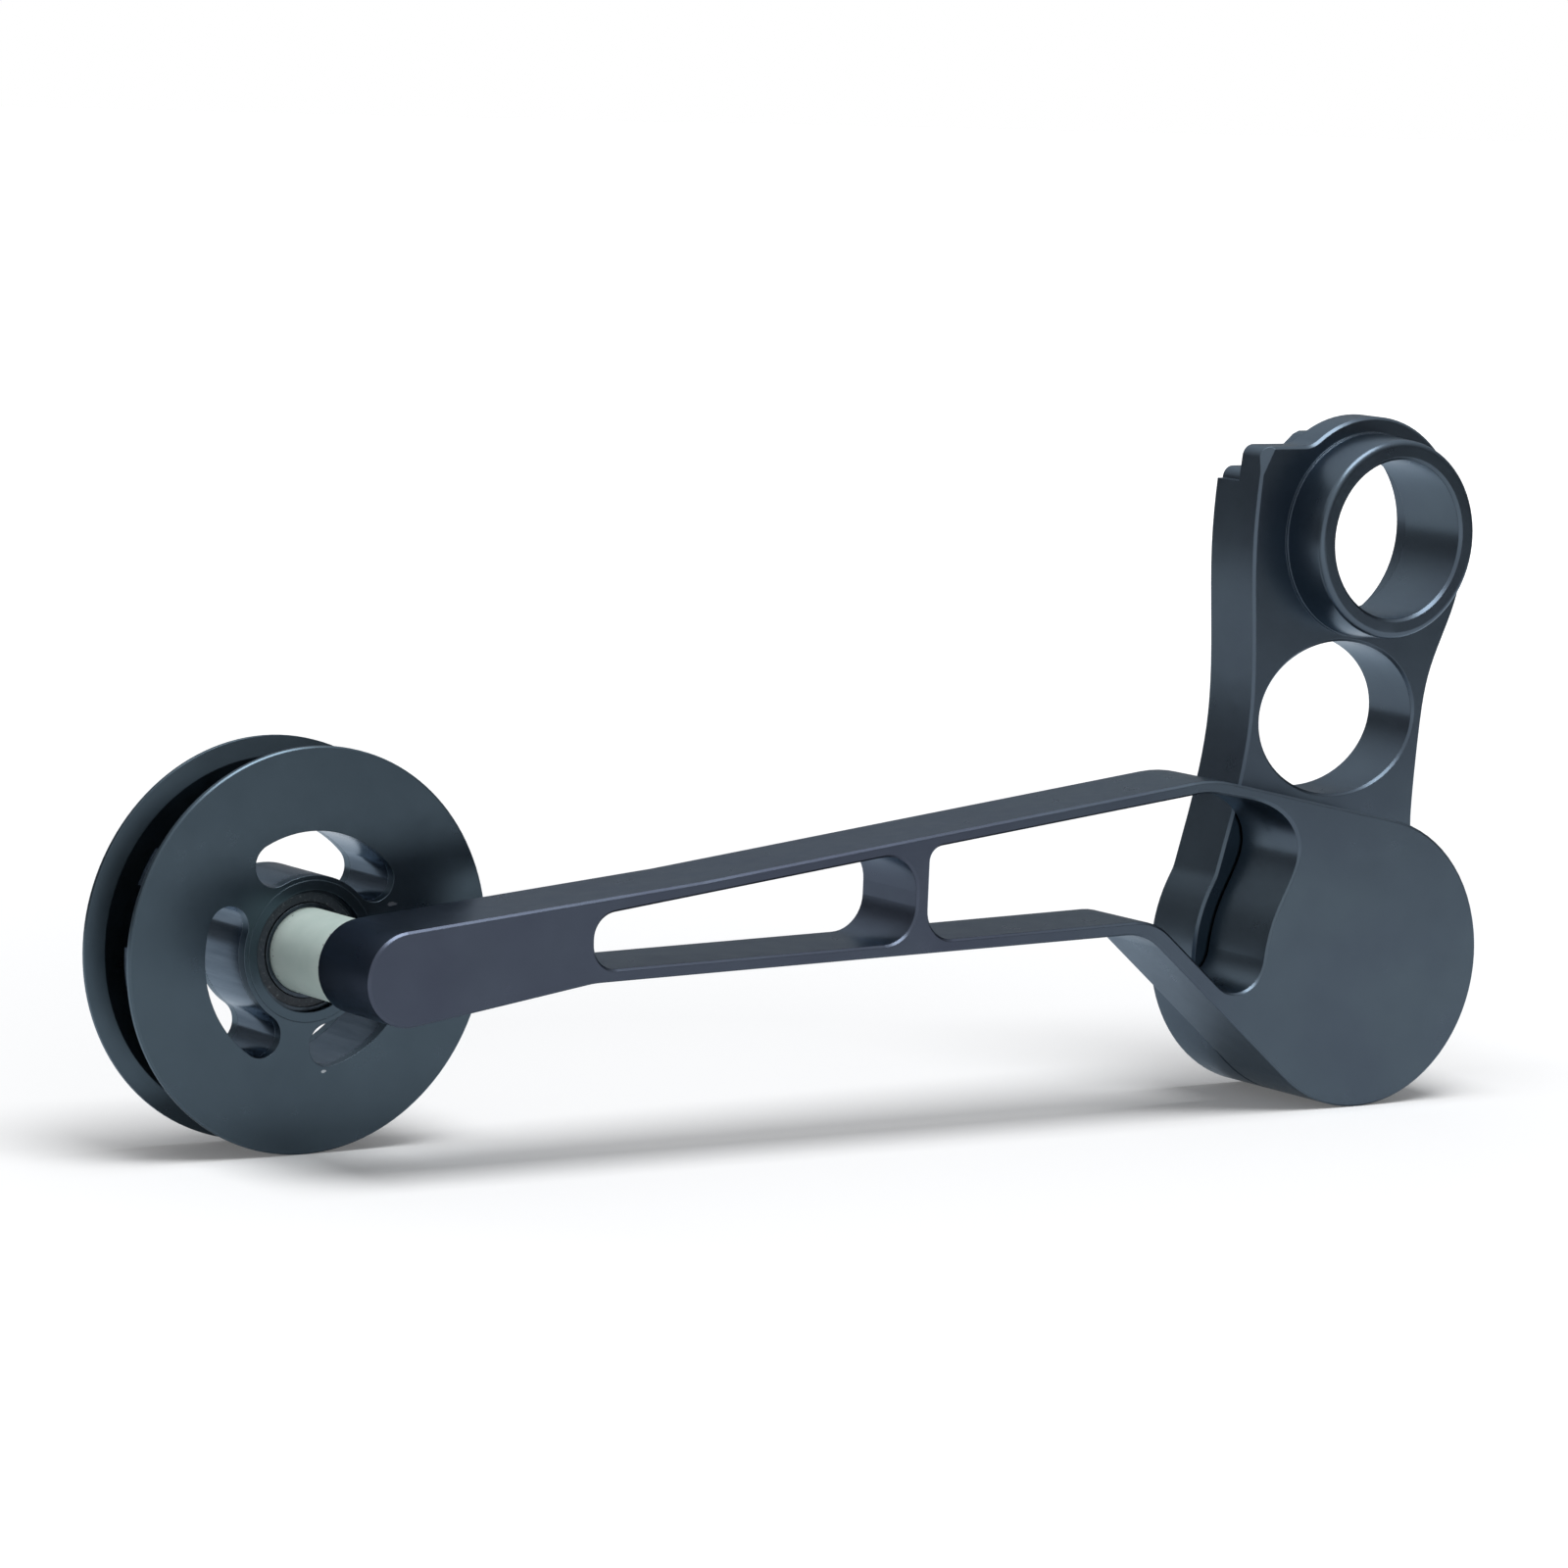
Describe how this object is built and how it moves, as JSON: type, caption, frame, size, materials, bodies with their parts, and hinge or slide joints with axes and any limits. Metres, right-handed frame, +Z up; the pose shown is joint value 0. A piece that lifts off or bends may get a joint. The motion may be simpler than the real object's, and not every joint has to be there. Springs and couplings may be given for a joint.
{
  "type": "bicycle chain tensioner",
  "caption": "Sprung bicycle chain tensioner: a collared mounting bracket, a windowed swing arm and a flanged, toothed guide wheel that floats on its sleeve.",
  "frame": {"origin": "on the axis of the axle bore, in the pocket floor that bears on the bicycle frame", "axes": "+X along the arm from the guide wheel towards the bracket, +Y along the bore and every turning axis towards the bicycle, +Z up"},
  "size_m": [0.1948, 0.0394, 0.0897],
  "materials": {
    "anodised": "satin dark blue-grey anodising",
    "steel": "blackened",
    "spring_steel": "oiled wire",
    "bearing_steel": "ground",
    "bronze": "plain",
    "sleeve": "pale grey-green, slightly glossy",
    "cage": "plain",
    "seal": "plain"
  },
  "bodies": {
    "bracket": {"mounting_bracket": "anodised", "stop_pin": "steel", "pivot_bush_front": "bronze", "pivot_bush_rear": "bronze", "torsion_spring": "spring_steel"},
    "arm": {"swing_arm": "anodised", "pivot_pin": "steel", "thrust_washer": "bronze", "pivot_washer": "steel", "pivot_screw": "steel", "axle_sleeve": "sleeve", "axle_washer": "steel", "axle_bolt": "steel"},
    "carriage": {"bearing_inner_races": "bearing_steel", "bearing_spacer": "bearing_steel"},
    "wheel": {"toothed_hub": "anodised", "front_flange": "anodised", "rear_flange": "anodised", "bearing_outer_races": "bearing_steel", "bearing_needles": "bearing_steel", "bearing_cages": "cage", "bearing_seals": "seal"}
  },
  "joints": [
    {"name": "arm_swing", "type": "hinge", "parent": "bracket", "child": "arm", "pos_m": [-0.0065, 0, -0.055], "axis": [0, -1, 0], "range_deg": [0, 120], "stiffness_Nm_per_rad": 0.25, "springref_deg": -68.75, "deforming": ["torsion_spring"]},
    {"name": "wheel_slide", "type": "slide", "parent": "arm", "child": "carriage", "axis": [0, -1, 0], "range_m": [0, 0.011]},
    {"name": "wheel_spin", "type": "hinge", "parent": "carriage", "child": "wheel", "pos_m": [-0.1528, 0, -0.0491], "axis": [0, -1, 0], "continuous": true}
  ]
}
